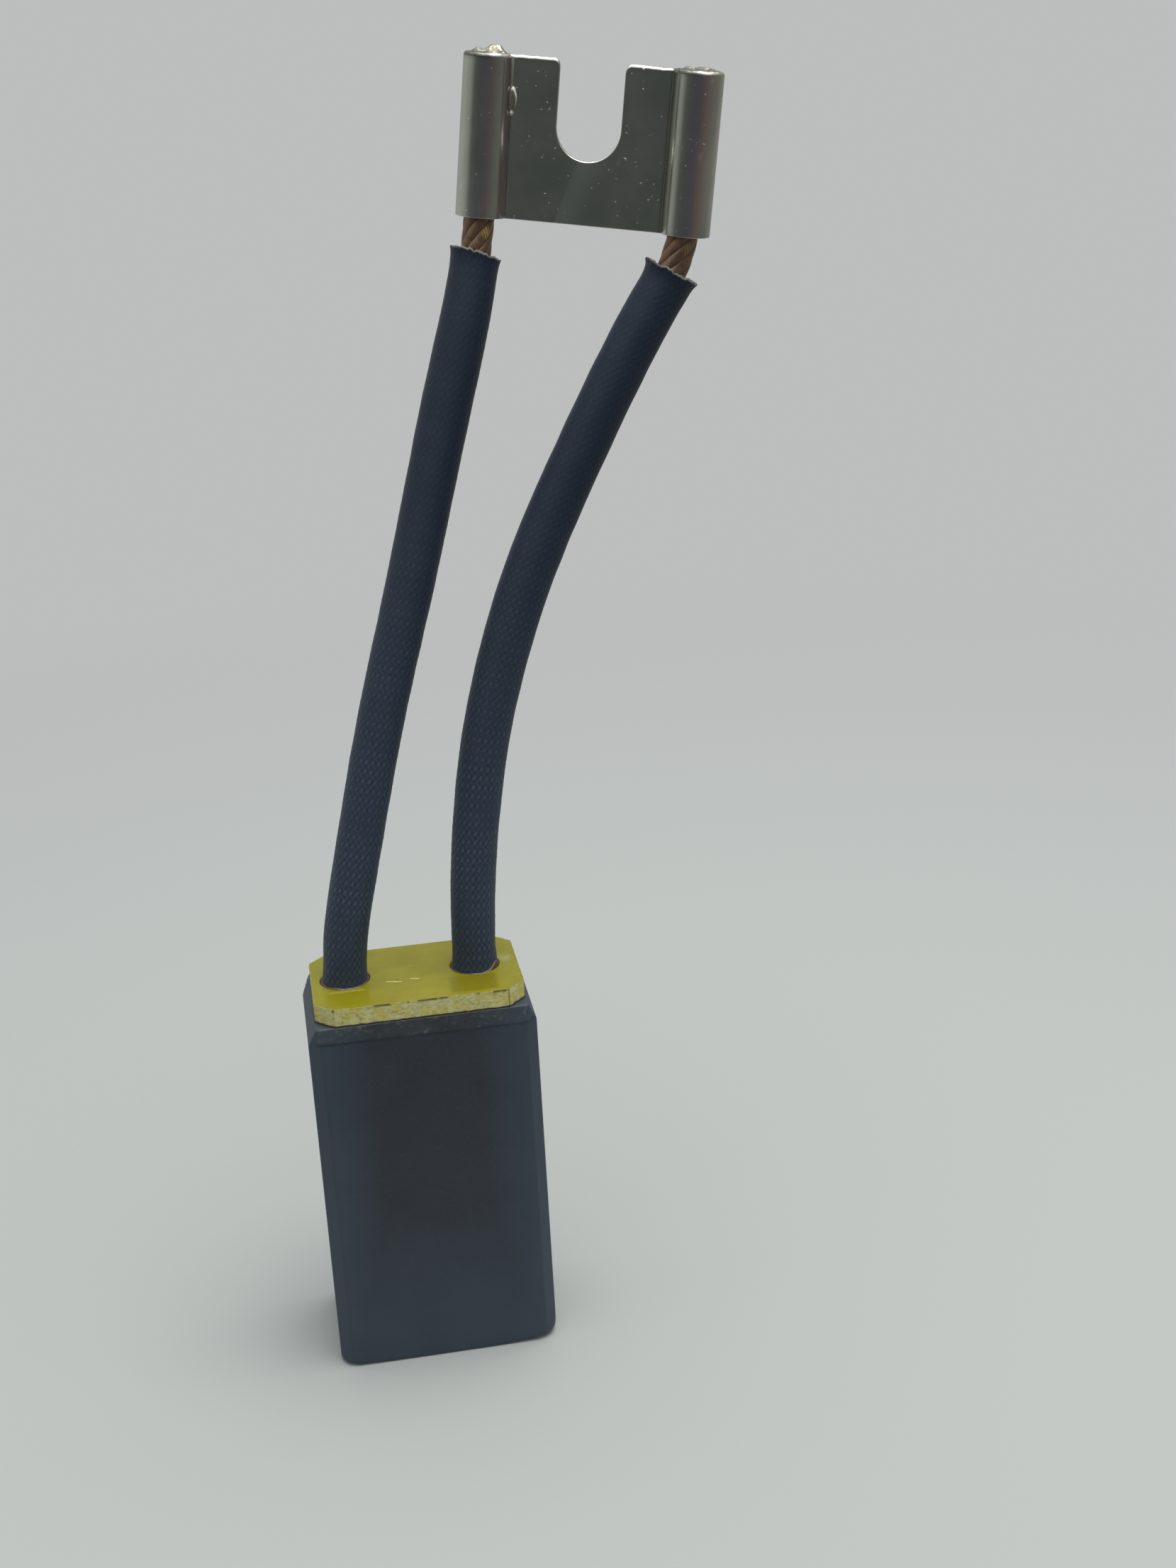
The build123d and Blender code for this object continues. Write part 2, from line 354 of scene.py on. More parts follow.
def carbon_material():
    """Dull ground graphite: dark blue-grey with a fine grain, lighter and bluer towards the sides and the
    foot as a painted reflection of the floor, and a painted shade line under the front bevel.
    """
    g = Graph(bpy.data.materials.new("carbon"))
    blotch = g.spread(g.noise(9 * MM, detail=5.0), 0.3, 0.7)
    grain = g.noise(0.35 * MM, detail=3.0)
    # Painted reflection of the pale floor: a lighter, bluer tone towards the block's sides and its foot
    sides = g.spread(g.math("ABSOLUTE", g.part("X")), 0.007, 0.0135)
    foot = g.spread(g.part("Z"), 0.026, 0.002)
    middle = g.blend(blotch, (41, 46, 54), (48, 53, 62))
    outer = g.blend(blotch, (50, 63, 76), (56, 69, 82))
    dust = g.spread(g.noise(0.7 * MM, detail=5.0, roughness=0.7), 0.45, 0.7)
    colour = g.layers(
        g.blend(g.math("MAXIMUM", sides, foot), middle, outer),
        (g.spread(grain, 0.55, 0.8, 0.0, 0.35), (68, 77, 89)),
        (g.times(g.value("filed"), g.spread(blotch, 0, 1, 0.08, 0.28)), (70, 78, 72)),
        # Painted shade: a dark line along the groove under the front bevel
        (g.times(g.value("line"), 0.6), (20, 23, 29)),
        (g.times(g.value("chip"), dust), (104, 106, 96)),
    )
    fine = g.bump(g.noise(0.25 * MM, detail=2.0, stretch=(1, 1, 0.12)), 0.006 * MM)
    rough = g.spread(blotch, 0, 1, 0.46, 0.56)
    return g.dress(colour, rough, g.bump(grain, 0.02 * MM, fine), {"Specular IOR Level": 0.4})


# Marks on the plate's top in mm: centre, half sizes, soft rim, turn, wobble, strength and tone
PLATE_MARKS = [
    ((-10.0, -6.5), (2.9, 1.9), 0.4, 0, 0.2, 0.8, (136, 129, 6)),
    ((7.7, -6.1), (3.0, 2.2), 0.6, 0, 0.3, 0.8, (121, 113, 10)),
    ((12.9, 0.9), (0.2, 0.3), 1.3, 0, 0.6, 0.35, (200, 196, 150)),
    ((-3.16, -2.7), (1.1, 0.05), 0.08, radians(-15.8), 0.05, 0.85, (236, 226, 160)),
    ((-0.26, -2.5), (0.6, 0.06), 0.1, radians(-13.7), 0.05, 0.7, (232, 222, 156)),
    ((-2.64, -2.21), (0.1, 0.08), 0.12, 0, 0, 0.9, (60, 50, 20)),
    ((-9.9, -4.1), (2.3, 0.1), 0.25, 0, 0.1, 0.5, (186, 176, 90)),
]


def plate_material():
    """Olive laminate: smooth stained top, pale fibrous cut edges and dark hairlines at the corners."""
    g = Graph(bpy.data.materials.new("laminate"))
    edge = g.value("cut")
    top = g.blend(g.spread(g.noise(4 * MM), 0.35, 0.7), (135, 130, 14), (149, 143, 22))
    for centre, half, soft, turn, wobble, strength, tone in PLATE_MARKS:
        top = g.layers(top, (g.times(g.patch(centre, half, soft, turn, wobble), strength), tone))
    fibre = g.noise(0.5 * MM, detail=5.0, roughness=0.65, stretch=(0.8, 0.8, 1.4))
    warm = g.spread(g.noise(1.6 * MM), 0.42, 0.62)
    speck = g.spread(g.noise(0.9 * MM, detail=3.0), 0.6, 0.72)
    cut = g.layers(
        g.blend(warm, (200, 197, 142), (202, 190, 100)),
        (g.spread(fibre, 0.3, 0.58, 0.65, 0.0), (140, 132, 74)),
        (g.times(speck, 0.4), (104, 92, 46)),
    )
    # Darker along hairlines down the edge's corners and along a blotchy line just under the top's front edge
    colour = g.layers(g.blend(edge, top, cut), (g.value("dark_edge_marks"), (44, 40, 26)))
    weave = g.bump(g.noise(0.6 * MM, detail=2.0, stretch=(1, 0.6, 1)), 0.01 * MM)
    normal = g.bump(g.times(fibre, edge), 0.12 * MM, weave)
    return g.dress(colour, g.spread(edge, 0, 1, 0.4, 0.85), normal, {"Specular IOR Level": 0.35})


def mottled_material(name, size, dark, pale, roughness, lump=0, depth=0):
    """A material of two tones in patches of a size, with lumps if their size is given, all in mm."""
    g = Graph(bpy.data.materials.new(name))
    normal = g.bump(g.noise(lump * MM), depth * MM) if lump else None
    return g.dress(g.blend(g.noise(size * MM), dark, pale), roughness, normal)


def film_material():
    """The dark adhesive line under the plate."""
    return mottled_material("adhesive", 1.2, (30, 27, 24), (62, 54, 40), 0.6)


def powder_material():
    """Tamped copper powder, dull and red-brown."""
    return mottled_material("copper_powder", 0.3, (92, 54, 38), (140, 88, 62), 0.8, 0.2, 0.05)


def cement_material():
    """Dark brown glue round the sleeves' feet."""
    return mottled_material("cement", 0.8, (36, 30, 28), (96, 74, 56), 0.35, 0.3, 0.04)


def braid_material():
    """Navy braid, lighter low down: yarn crowns lighter as a painted highlight and gaps between yarns darker
    as painted shade, both showing best low down, and a pale frayed end.
    """
    g = Graph(bpy.data.materials.new("braid"))
    crown = g.value("crown")
    fibre = g.noise(0.12 * MM, detail=2.0)
    low = g.spread(g.part("Z"), 0.125, 0.075)
    patchy = g.spread(g.noise(6 * MM, detail=2.0), 0.35, 0.65)
    tone = g.blend(low, (21, 34, 51), (44, 58, 74))
    # The lighter tone painted on the yarn crowns as a highlight
    pale = g.blend(low, (30, 41, 58), g.blend(patchy, (55, 68, 84), (70, 82, 97)))
    yarn = g.blend(g.value("family"), g.blend(0.35, tone, pale), pale)
    colour = g.layers(
        # Painted highlight: lighter yarn crowns; then painted shade: darker gaps between the yarns
        g.blend(g.spread(crown, 0.5, 1.0), tone, yarn),
        (g.times(g.spread(crown, 0.0, 0.45, 1.0, 0.0), g.spread(low, 0, 1, 0.35, 0.85)), (12, 17, 28)),
        (g.spread(fibre, 0.55, 0.85, 0.0, 0.2), (72, 76, 86)),
        (g.value("frayed"), (158, 155, 142)),
    )
    constants = {"Specular IOR Level": 0.3, "Sheen Weight": 0.06, "Sheen Roughness": 0.4}
    return g.dress(colour, 0.55, g.bump(fibre, 0.012 * MM), constants)


def rope_material():
    """Tarnished copper wire: painted shade darkening the hollows between strands, dull brown crowns and a few
    painted golden highlights.
    """
    g = Graph(bpy.data.materials.new("copper_rope"))
    tarnish = g.spread(g.noise(1.6 * MM), 0.42, 0.62)
    colour = g.layers(
        g.blend(tarnish, (126, 106, 92), (150, 120, 96)),
        # Painted shade in the hollows between the strands
        (g.spread(g.value("crown"), 0.05, 0.6, 0.5, 0.0), (58, 48, 42)),
        # Painted golden highlight
        (g.value("painted_glint"), (255, 236, 120)),
    )
    return g.dress(colour, g.spread(g.noise(0.8 * MM), 0.3, 0.7, 0.3, 0.5), constants={"Metallic": 0.85})


def tin_material():
    """Tinned sheet: smooth faces with a soft haze, faint drawn streaks and small bright nicks, with painted
    shade past the throats' bends and a painted pale sheen on the flat.
    """
    g = Graph(bpy.data.materials.new("tinned_sheet"))
    haze = g.spread(g.noise(7 * MM), 0.35, 0.7)
    cloudy = g.spread(g.noise(5 * MM, detail=3.0, stretch=(1, 1, 0.3)), 0.35, 0.65, 0.5, 1.0)
    colour = g.layers(
        g.blend(haze, (190, 195, 187), (205, 208, 200)),
        (g.spread(g.noise(2.5 * MM, detail=5.0), 0.6, 0.8, 0.0, 0.25), (158, 152, 134)),
        (g.times(g.value("violet"), cloudy), (194, 184, 204)),
        (g.times(g.value("russet"), cloudy), (214, 188, 180)),
        (g.value("flank"), (196, 182, 186)),
        # Darker barrel rims, and painted shade just past each throat's bend
        (g.value("dim"), (104, 106, 98)),
        # Painted sheen: a pale tapering patch on the flat
        (g.times(g.value("painted_sheen_wedge"), 0.5), (236, 240, 234)),
    )
    rough = g.math("ADD", g.spread(haze, 0, 1, 0.2, 0.27), g.times(g.value("speck"), 0.35))
    streak = g.bump(g.noise(0.8 * MM, detail=3.0, stretch=(1, 1, 0.05)), 0.003 * MM)
    nick = g.spread(g.noise(0.5 * MM, detail=1.0), 0.72, 0.8)
    return g.dress(colour, rough, g.bump(nick, 0.03 * MM, streak), {"Metallic": 1.0})


def solder_material():
    """Bright solder with dull grey and yellowish patches, and frosted in places: rougher there, with painted
    near-white highlights where light catches it.
    """
    g = Graph(bpy.data.materials.new("solder"))
    lumps = g.noise(0.9 * MM)
    colour = g.layers(
        g.blend(g.spread(lumps, 0.44, 0.6), (98, 97, 88), (158, 155, 140)),
        (g.value("dull"), (112, 111, 106)),
        # Near-white where frosted: partly real frosting, partly painted highlight
        (g.value("frost_and_painted_highlight"), (246, 244, 236)),
    )
    rough = g.math("ADD", g.spread(lumps, 0.3, 0.7, 0.24, 0.42), g.times(g.value("frost_and_painted_highlight"), 0.4))
    return g.dress(colour, rough, g.bump(g.noise(0.6 * MM), 0.05 * MM), {"Metallic": 1.0})


# Carbon block

def octagon(x0, y0, x1, y1, corner):
    """The corners of a rectangle whose own corners are cut off, from the lower right on."""
    return np.array([
        (x1 - corner, y0), (x1, y0 + corner), (x1, y1 - corner), (x1 - corner, y1),
        (x0 + corner, y1), (x0, y1 - corner), (x0, y0 + corner), (x0 + corner, y0),
    ])


def block_outline():
    """Points round the block, close together near each edge."""
    step = 0.36 * MM
    near = (0.0, 0.07 * MM, 0.15 * MM, 0.25 * MM)
    outline = []
    half_x, half_y = BLOCK_HALF
    for start, end in pairs(octagon(-half_x, -half_y, half_x, half_y, CORNER_CHAMFER)):
        length = np.linalg.norm(end - start)
        inner = np.linspace(near[-1], length - near[-1], max(2, round(length / step)))
        places = [*near[:-1], *inner, *(length - gap for gap in near[-2:0:-1])]
        outline += [start + (end - start) * place / length for place in places]
    return np.array(outline)


def block_planes():
    """Normals and distances of the block's flat faces, all but the hand-filed bevel in front."""
    half_x, half_y = BLOCK_HALF
    diagonal = (half_x + half_y - CORNER_CHAMFER) / 2**0.5
    planes = [((sx, 0, 0), half_x) for sx in (-1, 1)] + [((0, sy, 0), half_y) for sy in (-1, 1)]
    planes += [((sx / 2**0.5, sy / 2**0.5, 0), diagonal) for sx in (-1, 1) for sy in (-1, 1)]
    for x, y, half, run in ((1, 0, half_x, SIDE_RUN), (-1, 0, half_x, SIDE_RUN), (0, 1, half_y, BACK_RUN)):
        slope = Vector((x * BEVEL_DROP, y * BEVEL_DROP, run)).normalized()
        planes.append((tuple(slope), slope.dot(Vector((x * half, y * half, BLOCK_TOP - BEVEL_DROP)))))
    return planes + [((0, 0, 1), BLOCK_TOP), ((0, 0, -1), 0.0)]


def front_drop(x):
    """How far down the hand-filed front bevel reaches at a place across the block."""
    return FRONT_DROP_LEFT + (FRONT_DROP_RIGHT - FRONT_DROP_LEFT) * (x / BLOCK_HALF[0] + 1) / 2


def block_surface(outline, heights, rounding):
    """The block's skin at each height, found by moving out from the middle until the rounded form is met."""
    planes = block_planes()
    normals = np.array([plane[0] for plane in planes])
    distances = np.array([plane[1] for plane in planes])
    x, z = np.meshgrid(outline[:, 0], heights)
    y, _ = np.meshgrid(outline[:, 1], heights)
    low, high = np.full(x.shape, 0.3), np.full(x.shape, 1.2)
    for _ in range(26):
        middle = (low + high) / 2
        place = np.stack([x * middle, y * middle, z], axis=-1)
        drop = front_drop(place[..., 0])
        filed = FRONT_RUN * (z - BLOCK_TOP + drop) - drop * (place[..., 1] + BLOCK_HALF[1])
        filed = filed / np.hypot(drop, FRONT_RUN)
        beyond = np.concatenate([place @ normals.T - distances, filed[..., None]], axis=-1)
        outside = np.linalg.norm(np.maximum(beyond + rounding[..., None], 0), axis=-1) > rounding
        high = np.where(outside, middle, high)
        low = np.where(outside, low, middle)
    return np.stack([x * low, y * low, z], axis=-1)


def make_block(material):
    """The graphite block with crisp but worn edges, a filed top bevel and the two lead holes."""
    outline = block_outline()
    foot = np.concatenate([np.linspace(0, 2.4, 17), np.linspace(2.8, 4.0, 4)])
    heights = np.concatenate([foot, np.linspace(4.5, 50.0, 92), np.linspace(50.3, BLOCK_TOP / MM, 36)]) * MM
    columns, rows = len(outline), len(heights)
    angle = np.arctan2(outline[:, 1] / BLOCK_HALF[1], outline[:, 0] / BLOCK_HALF[0])
    worn = bell(angle - radians(-45), 0.2) + 0.45 * bell(angle - radians(-135), 0.2)
    worn_here = WORN_CORNER_ROUND * bell(heights, 1.5 * MM)[:, None] * worn[None, :]
    rounding = EDGE_ROUND + FOOT_ROUND * bell(heights, 1.0 * MM)[:, None] + worn_here
    flat = block_surface(outline, heights, rounding).reshape(-1, 3)
    out = flat * (1, 1, 0)
    out /= np.linalg.norm(out, axis=1)[:, None]
    filed = smooth_step(BLOCK_TOP - 3.0 * MM, BLOCK_TOP - 1.6 * MM, flat[:, 2])
    front = smooth_step(-0.7, -0.95, flat[:, 1] / BLOCK_HALF[1])
    chips = ripple(flat, 0.55 * MM, 1) * 0.6 + ripple(flat, 1.4 * MM, 2) * 0.4
    pitted = filed * (0.045 + 0.035 * front) * MM * np.minimum(chips, 0.15)
    flat = flat + out * (pitted + 0.004 * MM * ripple(flat, 2.5 * MM, 3))[:, None]
    above = flat[:, 2] - (BLOCK_TOP - front_drop(flat[:, 0]))
    bevel = smooth_step(-0.1 * MM, 0.2 * MM, above) * front
    waver = np.clip(0.75 + 0.9 * ripple(flat * (1, 0, 0), 3.0 * MM, 8), 0.15, 1)
    # Painted shade along the groove under the front bevel, kept as the block's line value
    line = front * bell(above + 0.12 * MM, 0.17 * MM) * waver
    marks = {"chip": bevel * smooth_step(0.0, 0.5, chips), "filed": bevel, "line": line}
    shares = (0.85, 0.5, 0.15)
    marks = {key: np.pad(numbers, (0, len(shares) * columns)) for key, numbers in marks.items()}
    points = np.concatenate([flat, *(np.c_[outline * share * 0.985, np.zeros(columns)] for share in shares)])
    base, last = rows * columns, (rows + len(shares) - 1) * columns
    faces = grid_faces(rows, columns, closed=True)
    faces += band(range(base, base + columns), range(columns))
    faces += grid_faces(len(shares), columns, closed=True, start=base)
    faces.append(tuple(range(last, last + columns)))
    block = add_mesh("carbon_block", "worn", points, faces, material, marks)
    close_top(block, rows, columns)


def edit(piece):
    """The piece's mesh opened for editing, with its points numbered."""
    mesh = bmesh.new()
    mesh.from_mesh(piece.data)
    mesh.verts.ensure_lookup_table()
    return mesh


def lead_hole(mesh, x, radius, heights, around):
    """The wall of a lead hole, as its upper and lower rings of points."""
    rings = []
    for z in heights:
        rings.append([mesh.verts.new((x + radius * cos(a), radius * sin(a), z)) for a in turns(around)])
    for face in band(rings[1], rings[0]):
        mesh.faces.new(face)
    return rings


def fill(mesh, rings):
    """New faces that fill a level outer ring round the inner ones."""
    edges = [mesh.edges.get(pair) for ring in rings for pair in pairs(ring)]
    made = bmesh.ops.triangle_fill(mesh, edges=edges, use_beauty=True, normal=(0, 0, 1))
    return [face for face in made["geom"] if isinstance(face, bmesh.types.BMFace)]


def close(mesh, piece):
    """Turns all faces outwards and gives the mesh back to its piece."""
    bmesh.ops.recalc_face_normals(mesh, faces=mesh.faces)
    mesh.to_mesh(piece.data)
    mesh.free()


def close_top(block, rows, columns):
    """Closes the block's top round the two lead holes, and sinks the holes to their drill points."""
    mesh = edit(block)
    rim = [mesh.verts[(rows - 1) * columns + column] for column in range(columns)]
    for vertex in rim:
        vertex.co.z = BLOCK_TOP
    rings = [rim]
    for x in LEAD_X.values():
        upper, lower = lead_hole(mesh, x, LEAD_HOLE, (BLOCK_TOP, LEAD_HOLE_FLOOR), 48)
        tip = mesh.verts.new((x, 0, LEAD_HOLE_FLOOR - LEAD_HOLE * 0.6))
        for here, after in pairs(lower):
            mesh.faces.new((after, here, tip))
        rings.append(upper)
    for face in fill(mesh, rings):
        face.smooth = False
    close(mesh, block)


# Top plate

def plate_outline(step):
    """Evenly spaced points round the plate, with each one's distance from the nearest corner."""
    outline, gaps = [], []
    for start, end in pairs(octagon(*plate_low[:2], *plate_high[:2], PLATE_CORNER)):
        length = np.linalg.norm(end - start)
        count = max(2, round(length / step))
        for k in range(count):
            outline.append(start + (end - start) * k / count)
            gaps.append(min(k, count - k) * length / count)
    return np.array(outline), np.array(gaps)


def make_plate(material):
    """The laminate plate: flat stained top, rough sawn edges, dark hairlines down the edge's corners."""
    outline, corner_gap = plate_outline(0.16 * MM)
    columns = len(outline)
    following = np.roll(outline, -1, axis=0) - np.roll(outline, 1, axis=0)
    outward = np.stack([following[:, 1], -following[:, 0]], axis=1)
    outward /= np.linalg.norm(outward, axis=1)[:, None]
    thickness = plate_high.z - plate_low.z
    levels = [(0.16 * MM, 0.0), (0.05 * MM, 0.02 * MM), (0.0, 0.1 * MM)]
    levels += [(0.0, depth) for depth in (0.17 * MM, 0.24 * MM, *np.linspace(0.32 * MM, thickness, 16))]
    insets, depths = np.array(levels).T
    depth, gap = np.repeat(depths, columns), np.tile(corner_gap, len(levels))
    rings = outline - outward * insets[:, None, None]
    points = np.c_[rings.reshape(-1, 2), plate_high.z - depth]
    x, y = points[:, 0], points[:, 1]
    cut = (depth > 0) * 1.0
    # Darker colour along hairlines down the edge's corners, where the edge is also pushed in, and along a
    # blotchy line just under the top's front edge
    hairline = bell(gap, 0.13 * MM) * np.where((x > 0) & (y < 0), 1, 0.35)
    hairline += (x < 0) * (y < -9 * MM) * bell(np.hypot(gap, depth - 0.2 * MM), 0.3 * MM)
    dark_edge_marks = 0.75 * hairline * cut
    rough = 0.5 * ripple(points, 0.5 * MM, 4) + 0.35 * ripple(points * (1, 1, 2.5), 1.3 * MM, 5)
    ragged = smooth_step(plate_low.z + 0.5 * MM, plate_low.z, points[:, 2]) * ripple(points, 0.9 * MM, 6)
    move = ((0.075 * rough - 0.05) * cut - 0.12 * dark_edge_marks + 0.1 * ragged) * MM
    points[:, :2] += np.tile(outward, (len(levels), 1)) * move[:, None]
    place = np.c_[outline, np.zeros(columns)]
    blots = smooth_step(0.0, 0.4, ripple(place, 1.6 * MM, 7) + 0.4 * ripple(place, 0.5 * MM, 9))
    blots = np.tile(blots * (0.15 + 0.85 * smooth_step(-8 * MM, -6 * MM, outline[:, 0])), len(levels))
    depth_below = plate_high.z - points[:, 2]
    dark_lip = 1 - smooth_step(0.0, 1.0, (depth_below - 0.1 * MM) / (0.16 * MM * (1 + blots)))
    dark_lip *= (depth_below > 0.01 * MM) * (0.25 + 0.75 * blots) * (points[:, 1] < 0)
    marks = {"cut": cut, "dark_edge_marks": np.maximum(dark_edge_marks, 0.85 * dark_lip)}
    faces = grid_faces(len(levels), columns, closed=True, flip=True)
    plate = add_mesh("top_plate", "sawn", points, faces, material, marks)
    close_plate(plate, columns, len(levels))


def top_faces(mesh):
    """The faces that lie flat in the plate's top."""
    return [face for face in mesh.faces if all(abs(v.co.z - plate_high.z) < 1e-7 for v in face.verts)]


def close_plate(plate, columns, levels):
    """Closes the plate's two faces round the lead holes. The top is cut fine enough to hold its marks."""
    mesh = edit(plate)
    rims = [[mesh.verts[level * columns + column] for column in range(columns)] for level in (0, levels - 1)]
    ends = (plate_high.z, plate_low.z)
    holes = [lead_hole(mesh, x, PLATE_HOLE, ends, 72) for x in LEAD_X.values()]
    for level, rim in enumerate(rims):
        fill(mesh, [rim, *(hole[level] for hole in holes)])
    for _ in range(4):
        inner = {edge for face in top_faces(mesh) for edge in face.edges}
        long_edges = [edge for edge in inner if edge.calc_length() > 0.9 * MM]
        if not long_edges:
            break
        bmesh.ops.subdivide_edges(mesh, edges=long_edges, cuts=1, use_grid_fill=False)
        bmesh.ops.triangulate(mesh, faces=[face for face in top_faces(mesh) if len(face.verts) > 3])
    for face in mesh.faces:
        face.normal_update()
        face.smooth = abs(face.normal.z) < 0.9
    close(mesh, plate)


# Leads

def route_line(side):
    """The lead's smooth line: buried start, the route's own spline, and the straight end in the barrel."""
    curve = bpy.data.curves.new("route_" + side, "CURVE")
    curve.dimensions = "3D"
    curve.resolution_u = 40
    spline = curve.splines.new("NURBS")
    spline.points.add(len(ROUTE[side]) - 1)
    for point, place in zip(spline.points, ROUTE[side]):
        point.co = (*place, 1)
    spline.order_u = 3
    spline.use_endpoint_u = True
    carrier = bpy.data.objects.new("route_" + side, curve)
    mesh = bpy.data.meshes.new_from_object(carrier)
    line = [tuple(vertex.co) for vertex in mesh.vertices]
    bpy.data.objects.remove(carrier)
    bpy.data.curves.remove(curve)
    bpy.data.meshes.remove(mesh)
    buried = (*ROUTE[side][0][:2], LEAD_HOLE_FLOOR)
    return np.array([buried, *line, tuple(ROPE_END[side])])


def distances_along(line):
    """How far along the line each of its points lies."""
    return np.concatenate([[0], np.cumsum(np.linalg.norm(np.diff(line, axis=0), axis=1))])


def walk(line, places):
    """Points at the given distances along a line, each with two directions across it that don't twist."""
    along = distances_along(line)

    def at(distances):
        return np.stack([np.interp(distances, along, line[:, k]) for k in range(3)], axis=1)

    points = at(places)
    reach = 0.4 * MM
    tangents = at(np.minimum(places + reach, along[-1])) - at(np.maximum(places - reach, 0))
    tangents /= np.linalg.norm(tangents, axis=1)[:, None]
    first = np.zeros_like(points)
    across = np.array((1.0, 0.0, 0.0))
    for k, tangent in enumerate(tangents):
        across = across - tangent * across.dot(tangent)
        across /= np.linalg.norm(across)
        first[k] = across
    return points, first, np.cross(tangents, first)


def tube(path, turn, size):
    """Places round a path at each angle, as far out as size says."""
    points, first, second = (vectors[:, None, :] for vectors in path)
    return points + first * (np.cos(turn) * size)[..., None] + second * (np.sin(turn) * size)[..., None]


# Sleeve diameters in mm by height, then the flare, the cut's tilt and its shift at the upper end
SLEEVE_SIZES = {
    "left": [(55.0, 6.7), (57.6, 6.5), (58.4, 6.25), (60.5, 6.1), (70.0, 6.3), (100.0, 6.5), (110.0, 6.65),
             (130.0, 6.9), (142.0, 6.95), (152.0, 6.6)],
    "right": [(55.0, 6.9), (57.6, 6.7), (58.4, 6.4), (60.5, 6.15), (80.0, 6.5), (100.0, 6.8), (115.0, 7.05),
              (130.0, 7.0), (145.0, 6.95), (149.0, 6.9)],
}
SLEEVE_CUT = {"left": (0.5, -0.52, 0.12), "right": (1.0, -0.35, -0.1)}


def sleeve_radius(side, points):
    """The sleeve's radius at the height of each point."""
    sizes = np.array(SLEEVE_SIZES[side])
    return np.interp(points[:, 2] / MM, sizes[:, 0], sizes[:, 1]) / 2 * MM


def weave(turn, run):
    """For each angle and distance: the yarn's crown, which yarn is on top, and a place for its noise."""
    a, b = turn + run, turn - run
    cell_a, cell_b = np.floor(a), np.floor(b)
    over = ((cell_a + cell_b) % 2) == 0
    across_yarn = np.where(over, b - cell_b, a - cell_a)
    along_yarn = np.where(over, a - cell_a, b - cell_b)
    crown = np.sin(pi * across_yarn) ** 0.7 * (0.7 + 0.3 * np.sin(pi * along_yarn))
    return crown, over, (cell_a * 0.37, cell_b * 0.61)


def make_sleeve(side, line, material):
    """A braided tube with its yarns' relief, a flared foot and a frayed, flared upper end."""
    along = distances_along(line)
    start = float(np.interp(0.055, line[: len(line) // 2, 2], along[: len(line) // 2]))
    length = SLEEVE_LENGTH[side]
    around, rows, inner_rows = 132, 640, 10
    carriers, pitch = 24, 1.3 * MM
    turn = turns(around)
    seed = 11 if side == "left" else 17
    edge, tooth = ring_waves(turn, 2.2, seed), ring_waves(turn, 7, seed + 5)
    share = np.linspace(0, 1, rows)
    places = start + share * length
    path = walk(line, places)
    points, first, second = path
    flare, tilt, shift = SLEEVE_CUT[side]
    radius = sleeve_radius(side, points) + flare / 2 * MM * np.exp((share - 1) * length / (0.7 * MM))
    crown, over, cells = weave(*np.meshgrid(carriers * turn / (2 * pi), places / pitch))
    depth = np.interp(places - start, (0.04, 0.07), (0.075, 0.03))[:, None] * MM
    waver = waves(share[:, None] * 30, np.cos(turn) * 1.2, np.sin(turn) * 1.2, seed + 2)
    relief = depth * (crown - 0.6) * (1 + 0.25 * waves(*cells, 0, seed)) + 0.05 * MM * waver
    tangent = np.cross(first, second)
    cut = tilt * np.cos(turn) + shift + 0.16 * edge + 0.32 * tooth
    ragged = smooth_step(0.97, 1.0, share)[:, None] * cut * MM
    skin = tube(path, turn, radius[:, None] + relief) + tangent[:, None, :] * ragged[..., None]
    end_fray = smooth_step(1 - 0.35 * MM / length, 1 - 0.15 * MM / length, share)[:, None]
    end_fray = end_fray * np.clip(0.95 * np.abs(np.sin(turn)) + 1.2 * tooth, 0, 1)
    inner_path = walk(line, np.linspace(places[-1], places[-1] - 8 * MM, inner_rows))
    inner_radius = sleeve_radius(side, inner_path[0]) - SLEEVE_WALL - SLEEVE_BORE
    inner_radius = np.linspace(1, 0, inner_rows) * inner_radius + SLEEVE_BORE
    inner = tube(inner_path, turn, inner_radius[:, None])
    inner[0] += tangent[-1] * (ragged[-1] - 0.05 * MM)[:, None]
    inside = np.zeros((inner_rows, around))
    inner_fray = inside.copy()
    inner_fray[0] = 0.9
    values = {"crown": (crown, inside + 0.1), "family": (over, inside), "frayed": (end_fray, inner_fray)}
    values = {key: np.concatenate(sheets).ravel() for key, sheets in values.items()}
    last, inner_start = (rows - 1) * around, rows * around
    faces = grid_faces(rows, around, closed=True)
    faces += band(range(last, inner_start), range(inner_start, inner_start + around))
    faces += grid_faces(inner_rows, around, closed=True, start=inner_start)
    skin = np.concatenate([skin, inner]).reshape(-1, 3)
    sleeve = add_mesh("sleeve_" + side, "braid", skin, faces, material, values)


# A painted golden highlight on each rope: where it sits and how strongly
PAINTED_GLINT = {"left": ((0.0190, 0.0181, 0.1569), 1.0), "right": ((0.0449, 0.0094, 0.1539), 0.25)}


